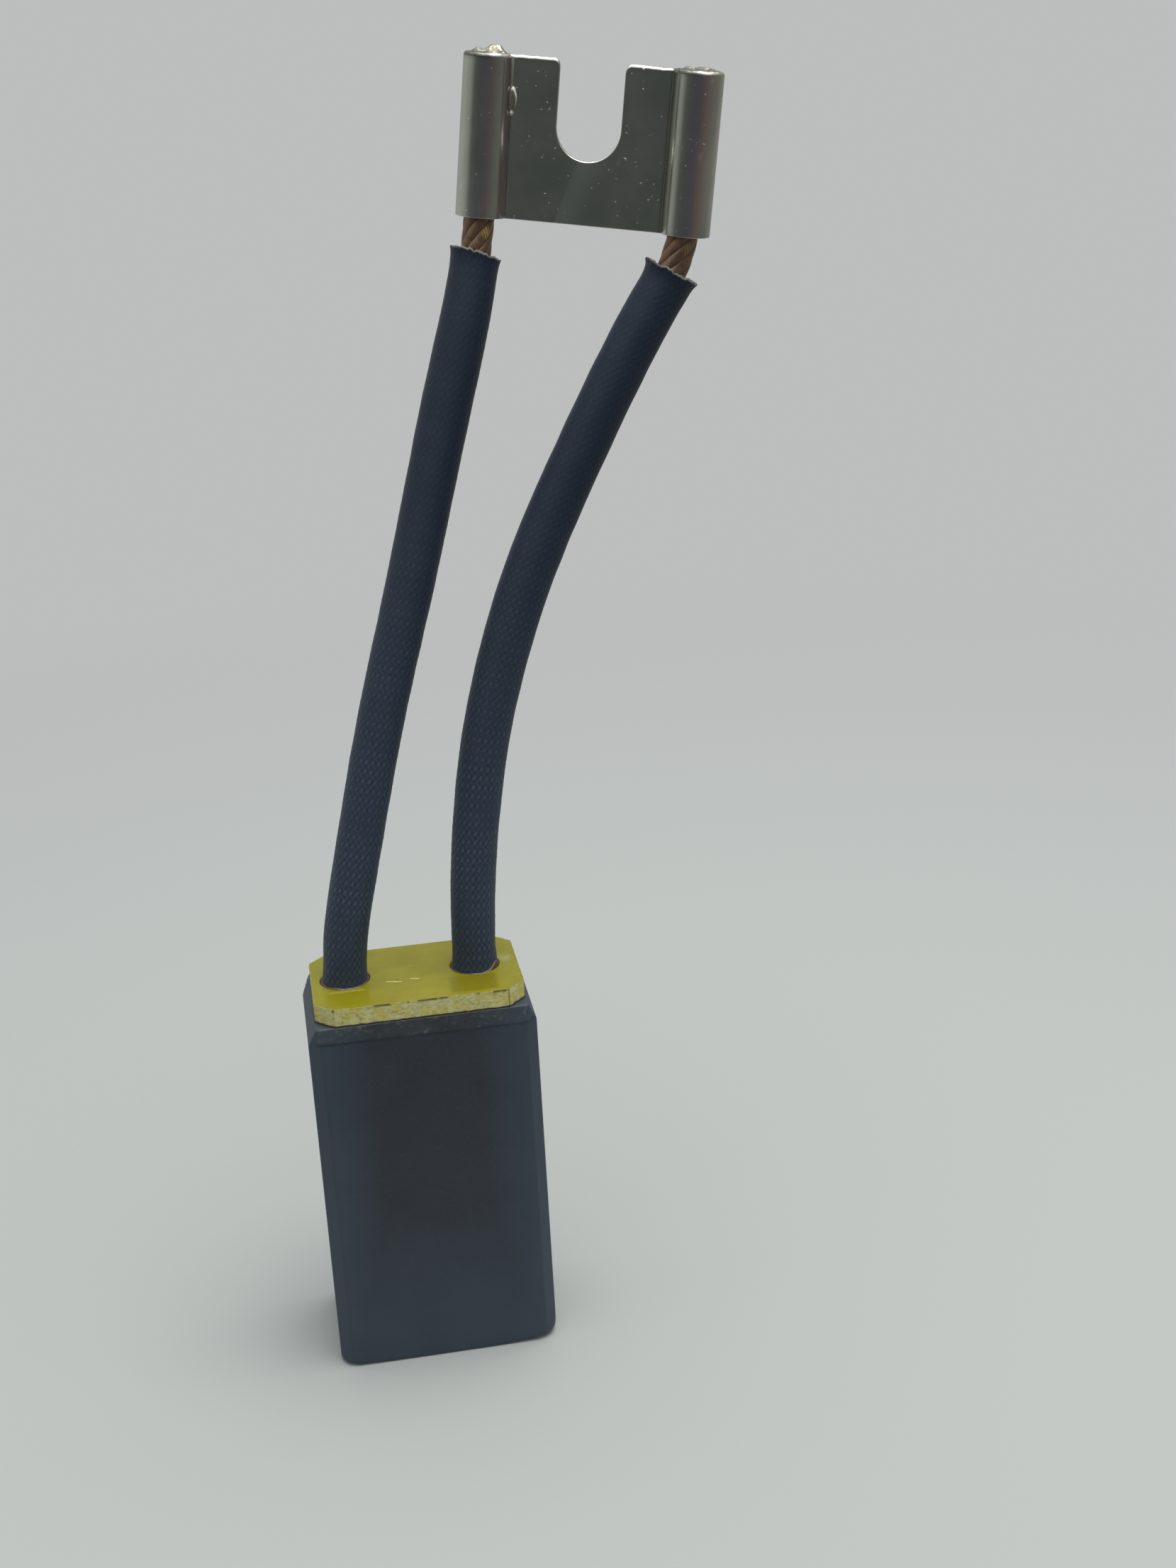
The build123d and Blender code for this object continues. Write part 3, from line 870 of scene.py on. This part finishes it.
def make_rope(side, line, material):
    """A compacted rope of seven strands, each with its own fine wires, from the block to the barrel's rim."""
    total = distances_along(line)[-1]
    shown_from, shown_to = total - 29.5 * MM, total - 20 * MM
    places = np.concatenate([
        np.linspace(0, shown_from, 120, endpoint=False),
        np.linspace(shown_from, shown_to, 150, endpoint=False),
        np.linspace(shown_to, total, 30),
    ])
    path = walk(line, places)
    strands, lay, wires, wire_lay, around = 7, 18.0 * MM, 9, 30.0 * MM, 252
    turn = turns(around)
    seed = 61 if side == "left" else 67
    spin, run = np.meshgrid(turn, places)
    crown = np.abs(np.sin(strands * (spin - 2 * pi * run / lay) / 2)) ** 0.6
    wire = np.abs(np.sin(strands * wires * (spin + 2 * pi * run / wire_lay) / 4))
    uneven = waves(places[:, None] * 300, np.cos(turn) * 1.3, np.sin(turn) * 1.3, seed)
    fine = 0.02 * (wire**0.7 - 0.6) + 0.05 * uneven
    skin = tube(path, turn, ROPE_RADIUS * (1.05 - 0.07 * (1 - crown)) + fine * MM)
    faces = grid_faces(len(places), around, closed=True)
    faces.append(tuple(range(around))[::-1])
    faces.append(tuple((len(places) - 1) * around + column for column in range(around)))
    place, strength = PAINTED_GLINT[side]
    # Painted highlight: a golden patch on the strand crowns round that place
    from_glint = np.linalg.norm((skin - np.array(place)) * (1, 1, 0.55), axis=2)
    painted_glint = strength * bell(from_glint, 0.65 * MM, power=4) * smooth_step(0.2, 0.8, crown * wire)
    values = {"crown": (crown * (0.7 + 0.3 * wire)).ravel(), "painted_glint": painted_glint.ravel()}
    skin = skin.reshape(-1, 3)
    rope = add_mesh("rope_" + side, "strands", skin, faces, material, values)


# Terminal

def on_terminal(origin, across, along, front):
    """Places that lie so far from an origin in the terminal's own three directions."""
    steps = np.stack(np.broadcast_arrays(across, along, front), axis=-1)
    return np.array(origin) + steps.reshape(-1, 3) @ np.array((ACROSS, ALONG, FRONT))


def bent(place, height, lift):
    """Where points of the flat strip go once the sheet is rolled. lift is out of the sheet's front."""
    run, sign = np.abs(place), np.where(place >= 0, 1, -1)
    loose = np.maximum(0, (run - HALF_STRIP) / (2.2 * BARREL_MIDDLE) + 1) ** 2 * (place < 0)
    middle = BARREL_MIDDLE + LEFT_SEAM_OPENS * loose * (1 - height / TERMINAL_HEIGHT)
    bend = np.maximum(0, run - THROAT_X) / THROAT_RADIUS
    wrapped = run - THROAT_X - THROAT_LENGTH
    angle = pi + THROAT_ANGLE + wrapped / BARREL_MIDDLE
    x = np.minimum(run, THROAT_X) + THROAT_RADIUS * np.sin(bend)
    x = np.where(wrapped > 0, BARREL_X + middle * np.cos(angle), x)
    y = np.where(wrapped > 0, middle * np.sin(angle), THROAT_RADIUS * (np.cos(bend) - 1))
    heading = np.where(wrapped > 0, angle + pi / 2, -bend)
    across, front = sign * x + lift * np.sin(heading), lift * np.cos(heading) - sign * y
    return on_terminal(TERMINAL_FOOT, across, height, front)


def strip_columns():
    """Places along the flat strip, close together where it bends and at the slot."""
    slot = SLOT_HALF + RIM_SIDE
    bend_start = THROAT_X - 0.3 * MM
    outside = np.concatenate([
        np.linspace(slot, slot + SLOT_LIP_ROUND, 8),
        np.linspace(slot + SLOT_LIP_ROUND, bend_start, 12)[1:],
        np.linspace(bend_start, HALF_STRIP - RIM_SIDE, 86)[1:],
    ])
    across_slot = slot * np.sin(np.linspace(-pi / 2, pi / 2, 29))
    return np.concatenate([-outside[::-1], across_slot[1:-1], outside])


def flat_strip():
    """The strip before it is rolled: its places, its quads, and the numbers of the places round its rim."""
    slot = SLOT_HALF + RIM_SIDE
    lip = SLOT_LIP_ROUND - RIM_SIDE
    columns = strip_columns()
    step_row, top_row = 18, 34
    places, index = [], {}
    for column, place in enumerate(columns):
        step = SLOT_FLOOR + SLOT_HALF - max(0.0, slot**2 - place**2) ** 0.5
        corner = max(0.0, lip - (abs(place) - slot))
        top = TERMINAL_HEIGHT - RIM_TOP - (lip - max(0.0, lip**2 - corner**2) ** 0.5)
        heights = list(np.linspace(RIM_SIDE, step, step_row + 1))
        if abs(place) >= slot - 1e-9:
            heights += list(np.linspace(step, top, top_row - step_row + 1)[1:])
        for row, height in enumerate(heights):
            index[column, row] = len(places)
            places.append((place, height))
    quads = []
    for column in range(len(columns) - 1):
        for row in range(top_row):
            ring = [(column, row), (column + 1, row), (column + 1, row + 1), (column, row + 1)]
            if all(key in index for key in ring):
                quads.append(tuple(index[key] for key in ring))
    edges = {edge for quad in quads for edge in pairs(quad)}
    following = {a: b for a, b in edges if (b, a) not in edges}
    rim = [0]
    while following[rim[-1]] != 0:
        rim.append(following[rim[-1]])
    return np.array(places), quads, rim


def make_terminal(material):
    """The rolled tinned sheet, from its flat strip: two faces, and a rounded rim, burred along the top."""
    flat, quads, loop = flat_strip()
    rim = flat[loop]
    after, before = np.roll(rim, -1, axis=0) - rim, rim - np.roll(rim, 1, axis=0)
    run = after / np.linalg.norm(after, axis=1)[:, None] + before / np.linalg.norm(before, axis=1)[:, None]
    outward = np.stack([run[:, 1], -run[:, 0]], axis=1)
    outward /= np.linalg.norm(outward, axis=1)[:, None]
    on_top = (rim[:, 1] > TERMINAL_HEIGHT - 3 * MM) * np.clip(outward[:, 1], 0, 1)
    on_flat = on_top * (np.abs(rim[:, 0]) < THROAT_X)
    reach = RIM_SIDE + (RIM_TOP - RIM_SIDE) * on_top**2
    level = np.c_[rim, np.zeros(len(rim))]
    burr = ripple(level, 0.9 * MM, 21) * 0.5 + ripple(level, 0.4 * MM, 22) * 0.3
    half, count, steps = SHEET / 2, len(flat), 7
    corner = np.minimum(reach, half)
    sheets = [bent(*flat.T, half), bent(*flat.T, -half)]
    faces = quads + [tuple(number + count for number in quad[::-1]) for quad in quads]
    previous = loop
    for step in range(1, 2 * steps):
        angle = pi * step / (2 * steps)
        face = (step < steps) - (step > steps)
        out = reach * sin(angle) * (1 + 0.35 * on_top * burr)
        lift = (half - corner) * face + corner * cos(angle)
        lift *= 1 + 0.2 * on_top * np.abs(burr) + on_flat * 0.16 * max(0.0, sin(angle * 2))
        sheets.append(bent(*(rim + outward * out[:, None]).T, lift))
        ring = range(2 * count + (step - 1) * len(loop), 2 * count + step * len(loop))
        faces += band(ring, previous)
        previous = ring
    faces += band([source + count for source in loop], previous)
    points = np.concatenate(sheets)
    add_mesh("terminal", "sheet", points, faces, material, barrel_tints(points))


# Small bright nicks in the sheet: place across, height and size, in mm
NICKS = [
    (4.38, 8.71, 0.16), (15.32, 10.29, 0.22), (16.0, 20.0, 0.25), (-16.36, 9.89, 0.2), (-15.74, 9.13, 0.22),
    (-16.38, 4.97, 0.25), (-16.4, 1.3, 0.3), (-15.4, 5.97, 0.16), (-16.5, 2.9, 0.18), (-15.9, 1.9, 0.16),
]


def barrel_tints(points):
    """The sheet's tints for each point: violet, russet and darker rims up the barrels, painted shade past the
    throats' bends, a painted pale sheen on the flat, and nicks.
    """
    rest = points - np.array(TERMINAL_FOOT)
    across, ahead, height = rest @ np.array(ACROSS), rest @ np.array(FRONT), rest @ np.array(ALONG)
    right, facing_us = across > 0, ahead > 0
    facing = np.degrees(np.arctan2(across - np.where(right, 1, -1) * BARREL_X, ahead))
    near = (np.abs(across) > BARREL_X - BARREL_RADIUS * 1.02) & facing_us
    russet = np.where(right, bell(facing - 28, 12), bell(facing - 20, 6))
    rim = smooth_step(TERMINAL_HEIGHT - 0.7 * MM, TERMINAL_HEIGHT - 0.4 * MM, height)
    ends = np.where(right, smooth_step(15, 13.6, across / MM), smooth_step(-12.4, -13.6, across / MM))
    # Painted shade just past each throat's bend into its barrel
    crease_shade = 0.75 * facing_us * bell(across - THROAT_X - 0.15 * MM, 0.22 * MM)
    # Painted sheen: a pale patch on the flat below the slot, sharp on its left and fading out to the right
    start = (-3.9 + 2.2 * height / (7 * MM)) * MM
    painted_sheen_wedge = smooth_step(0, 0.25 * MM, across - start) * (1 - smooth_step(1.5 * MM, 4.5 * MM, across - start))
    speck = np.zeros(len(rest))
    for x, y, size in NICKS:
        apart = np.hypot(across - x * MM, (height - y * MM) * 0.7)
        speck = np.maximum(speck, facing_us * bell(apart, size * MM))
    return {
        "violet": near * bell(facing - 5, 13), "russet": near * russet, "speck": speck,
        "flank": near * ~right * smooth_step(46, 60, facing),
        "painted_sheen_wedge": painted_sheen_wedge * facing_us * (height < 8.5 * MM),
        "dim": np.maximum(rim * (np.abs(across) > THROAT_X) * ends, crease_shade),
    }


# Lumps of each solder cap: place across and to the back, width and height, in mm
CAP_LUMPS = {
    "left": [(0.3, -0.1, 0.7, 0.75), (1.4, 0.1, 0.75, 0.85), (0.8, 0.8, 0.9, 0.35), (-1.4, -0.2, 0.7, 0.5),
             (1.0, -1.0, 0.45, -0.5), (0.4, -1.6, 0.6, 0.2), (2.1, -0.9, 0.4, 0.25)],
    "right": [(-1.7, 0.4, 0.6, 0.3), (0.1, 0.6, 0.8, 0.35), (1.3, 0.2, 0.7, 0.3), (-0.5, -0.9, 0.8, 0.15),
              (1.9, -0.7, 0.6, 0.2)],
}


def domed_faces(rows, around):
    """The faces of rings of points that start with a flat end and close in one tip."""
    tip = rows * around
    end = [(here, after, tip) for here, after in pairs(range(tip - around, tip))]
    return grid_faces(rows, around, closed=True) + end + [tuple(range(around))[::-1]]


def make_solder(side, material):
    """Solder in the barrel round the rope, with an uneven cap on the rim where wire ends show."""
    around, cap_rows = 96, 34
    centre = MOUTH[side]
    seed = 31 if side == "left" else 41
    turn, height = np.meshgrid(turns(around), (0.25 * MM, 0.6 * MM, TERMINAL_HEIGHT - 0.4 * MM))
    fit = BARREL_BORE * 0.995
    wall = on_terminal(centre, fit * np.cos(turn), height, -fit * np.sin(turn))
    turn, share = np.meshgrid(turns(around), 1 - np.arange(cap_rows) / cap_rows)
    radius = 2.8 * share * (1 + 0.05 * ring_waves(turn, 2, seed))
    x, y = radius * np.cos(turn), radius * np.sin(turn)
    lift = sum(tall * bell(np.hypot(x - a, y - b), wide) for a, b, wide, tall in CAP_LUMPS[side])
    lift += 0.06 + 0.14 * waves(x * 1.6, y * 1.6, seed) + 0.07 * waves(x * 3.0, y * 3.0, seed + 4)
    lift = np.maximum(0, lift) * (1 - share**8) - 0.05
    cap = on_terminal(centre + ALONG * TERMINAL_HEIGHT, x * MM, lift * MM, -y * MM)
    points = np.concatenate([wall, cap, [cap[-around:].mean(axis=0)]])
    faces = domed_faces(3 + cap_rows, around)
    across = (points - np.array(centre)) @ np.array(ACROSS)
    dull = smooth_step(0.3 * MM, -0.9 * MM, across) if side == "left" else 0.85 + 0 * across
    add_mesh("solder_" + side, "cap", points, faces, material, {"dull": dull, "frost_and_painted_highlight": 0 * across})


def make_seam_bead(material):
    """An oval drop of solder on the left barrel's seam, and the thin ridge of solder along the seam, with
    painted highlights on the drop's rim and lower end and on the ridge's upper right side.
    """
    rows, around = 20, 72
    seam = TERMINAL_FOOT + ACROSS * (BARREL_RADIUS - BARREL_X) + FRONT * SHEET / 2
    middle = seam + (ACROSS * 0.3 + ALONG * 15.1) * MM
    turn, share = np.meshgrid(turns(around), 1 - np.arange(rows) / rows)
    up = 1.95 * share * np.sin(turn)
    x = 0.62 * share * np.cos(turn) * (1 - 0.4 * bell(up + 1.15, 0.35) + 0.12 * bell(up - 0.6, 0.6))
    lift = 0.4 * (1 - share**6) ** 0.5 + 0.22 * bell(up + 1.5, 0.25) * (1 - share**2)
    drop = on_terminal(middle, x * MM, up * MM, lift * MM)
    # Painted highlights: a crescent round the drop's upper right rim and a spot at its lower end, over an
    # even frosting
    highlight_crescent = bell(share - 0.86, 0.1) * np.clip(np.cos(turn - radians(50)), 0, 1) ** 0.7
    drop_frost_and_highlight = 0.25 + highlight_crescent + bell(np.hypot(x, up + 1.45), 0.3)
    steps, bend = 91, 9
    turn, height = np.meshgrid(np.linspace(0, pi, bend), np.linspace(0.4, TERMINAL_HEIGHT / MM - 0.3, steps))
    upper = smooth_step(14, 17, height)
    wide = (0.28 + 0.04 * waves(height * 1.3, 5, 0)) * (1 + 0.1 * upper)
    lift = (0.3 + 0.14 * upper * (1 + 0.5 * waves(height * 2, 9, 0))) * np.sin(turn) - 0.03
    ridge = on_terminal(seam - ACROSS * 0.06 * MM, wide * np.cos(turn) * MM, height * MM, lift * MM)
    # Painted highlight along the ridge's upper right side, over an even frosting
    ridge_frost_and_highlight = 0.15 + 0.45 * upper * np.clip(np.cos(turn), 0, 1)
    tip = len(drop)
    faces = domed_faces(rows, around) + grid_faces(steps, bend, start=tip + 1)
    points = np.concatenate([drop, [middle + FRONT * 0.4 * MM], ridge])
    dull = np.where(np.arange(len(points)) > tip, 0.5, 0.1)
    frost_and_painted_highlight = np.clip([*drop_frost_and_highlight.ravel(), 0, *ridge_frost_and_highlight.ravel()], 0, 1)
    add_mesh("seam_bead", "drop", points, faces, material, {"dull": dull, "frost_and_painted_highlight": frost_and_painted_highlight})


# Each cement ring's section, then the turns of its lump and its chip, the chip's size and the noise's seed
FOOT_PROFILE = [
    (PLATE_HOLE, BLOCK_TOP), (PLATE_HOLE, PLATE_TOP - 0.25 * MM),
    (PLATE_HOLE - 0.12 * MM, PLATE_TOP - 0.1 * MM), (3.3 * MM, PLATE_TOP + 0.02 * MM),
    (3.12 * MM, PLATE_TOP + 0.1 * MM), (3.0 * MM, PLATE_TOP - 0.2 * MM), (3.0 * MM, BLOCK_TOP),
]
FOOT_MARKS = {"left": (radians(160), radians(250), 0.3, 51), "right": (radians(140), radians(330), 2.2, 57)}


def make_foot(side, material):
    """Glue that fills the plate's hole round the sleeve, with small lumps at its edge."""
    around = 96
    lump_turn, chip_turn, chip_size, seed = FOOT_MARKS[side]
    turn = turns(around)
    lumps = 0.3 * bell(turn - lump_turn, 0.12) + 0.4 * chip_size * bell(turn - chip_turn, 0.35)
    lift = (0.08 * ring_waves(turn, 3, seed) + lumps) * MM
    points = []
    for radius, height in FOOT_PROFILE:
        level = height + lift * (height > PLATE_TOP - 0.2 * MM)
        points += list(zip(LEAD_X[side] + radius * np.cos(turn), radius * np.sin(turn), level))
    faces = grid_faces(len(FOOT_PROFILE), around, closed=True)
    faces += band(range(len(points) - around, len(points)), range(around))
    add_mesh("foot_cement_" + side, "ring", points, faces, material)


# Floor, light and camera

FLOOR_COLOUR = (0.51, 0.535, 0.52, 1.0)
BACKDROP_COLOUR = (188, 190, 190)

# What the metal mirrors, as turns from straight in front: dark room ahead, white paper on the left
ROOM = [
    (-180, (0.36, 0.37, 0.35)), (-125, (0.46, 0.46, 0.43)), (-95, (0.36, 0.36, 0.33)),
    (-62, (0.100, 0.105, 0.094)), (-40, (0.080, 0.086, 0.080)), (-12, (0.082, 0.088, 0.086)),
    (8, (0.088, 0.088, 0.092)), (22, (0.112, 0.104, 0.102)), (50, (0.150, 0.142, 0.134)),
    (85, (0.190, 0.186, 0.168)), (125, (0.28, 0.275, 0.255)), (180, (0.36, 0.37, 0.35)),
]


def room_tone(g):
    """The room's tone for a place on the floor or a direction, by its turn from the front."""
    turn = g.math("ARCTAN2", g.part("X"), g.times(g.part("Y"), -1.0))
    ramp = g.nodes.new("ShaderNodeValToRGB")
    ramp.color_ramp.interpolation = "EASE"
    stops = ramp.color_ramp.elements
    while len(stops) < len(ROOM):
        stops.new(0.5)
    for stop, (degrees_right, tone) in zip(stops, ROOM):
        stop.position = degrees_right / 360 + 0.5
        stop.color = (*tone, 1.0)
    g.join(g.spread(turn, -pi, pi), ramp.inputs["Fac"])
    return ramp.outputs["Color"]


def floor_material():
    """Pale floor. Far off it fades to an even tone for the eye, and mirrors see the room there."""
    g = Graph(bpy.data.materials.new("floor"))
    ray = g.nodes.new("ShaderNodeLightPath").outputs
    away = g.add("VectorMath", {0: g.place}, "Value", operation="LENGTH")
    eye_share = g.times(g.spread(away, 0.14, 0.42), ray["Is Camera Ray"])
    seen = g.either(eye_share, g.shine(FLOOR_COLOUR, "BsdfDiffuse"), g.shine(BACKDROP_COLOUR))
    far = g.times(g.spread(away, 0.07, 0.15), ray["Is Glossy Ray"])
    return g.show(g.either(far, seen, g.shine(room_tone(g))))


def make_floor():
    """A wide flat floor at the block's foot."""
    mesh = bpy.data.meshes.new("floor")
    size = 3.0
    corners = [(x * size, y * size, 0) for x, y in ((-1, -1), (1, -1), (1, 1), (-1, 1))]
    mesh.from_pydata(corners, [], [(0, 1, 2, 3)])
    mesh.materials.append(floor_material())
    put("floor", mesh)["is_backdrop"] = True


def make_light():
    """A pale room, dark ahead for mirrors, with one broad soft lamp overhead on the right."""
    world = bpy.data.worlds.new("room")
    bpy.context.scene.world = world
    g = Graph(world, "Generated")
    ray = g.nodes.new("ShaderNodeLightPath").outputs
    diffuse = g.shine((0.50, 0.515, 0.53, 1.0), "Background")
    ceiling = g.blend(g.spread(g.part("Z"), 0.6, 0.85), (0.7, 0.7, 0.68, 1.0), (1.9, 1.9, 1.75, 1.0))
    mirrored = g.blend(g.spread(g.part("Z"), 0.25, 0.55), room_tone(g), ceiling)
    lit = g.either(ray["Is Glossy Ray"], diffuse, g.shine(mirrored, "Background"))
    g.show(g.either(ray["Is Camera Ray"], lit, g.shine(BACKDROP_COLOUR, "Background")), "OutputWorld")
    lamp = bpy.data.lights.new("overhead", "AREA")
    lamp.shape = "DISK"
    lamp.size = 0.7
    lamp.energy = 5.0
    lamp.color = (1.0, 0.98, 0.95)
    holder = put("overhead", lamp)
    holder.location = (0.14, -0.06, 0.85)
    holder.rotation_euler = (Vector((0, 0, 0.08)) - holder.location).to_track_quat("-Z", "Y").to_euler()


def make_camera():
    """The camera at the photograph's place, turned, dipped and rolled as it was."""
    camera = bpy.data.cameras.new("camera")
    camera.lens = CAMERA_LENS_MM
    camera.sensor_width = FILM_MM
    right = Vector((cos(CAMERA_TURN), sin(CAMERA_TURN), 0))
    ahead = Vector((-sin(CAMERA_TURN), cos(CAMERA_TURN), 0)) * cos(CAMERA_DIP) - UPRIGHT * sin(CAMERA_DIP)
    down = ahead.cross(right)
    rolled_right = right * cos(CAMERA_ROLL) + down * sin(CAMERA_ROLL)
    rolled_up = right * sin(CAMERA_ROLL) - down * cos(CAMERA_ROLL)
    turned = Matrix((rolled_right, rolled_up, -ahead)).transposed()
    holder = put("camera", camera)
    holder.matrix_world = Matrix.Translation(CAMERA_PLACE) @ turned.to_4x4()
    bpy.context.scene.camera = holder


make_camera()
make_floor()
make_light()
bpy.context.scene.view_settings.view_transform = "Standard"

solder = solder_material()
braid = braid_material()
copper = rope_material()
cement = cement_material()
make_terminal(tin_material())
for side in ("left", "right"):
    line = route_line(side)
    make_rope(side, line, copper)
    make_sleeve(side, line, braid)
    make_solder(side, solder)
    make_foot(side, cement)
make_seam_bead(solder)
make_block(carbon_material())
make_plate(plate_material())
hidden = {"bond_film": film_material(), "tamping_left": powder_material(), "tamping_right": powder_material()}
for name, material in hidden.items():
    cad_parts[name].data.materials.clear()
    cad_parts[name].data.materials.append(material)

low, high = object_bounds()
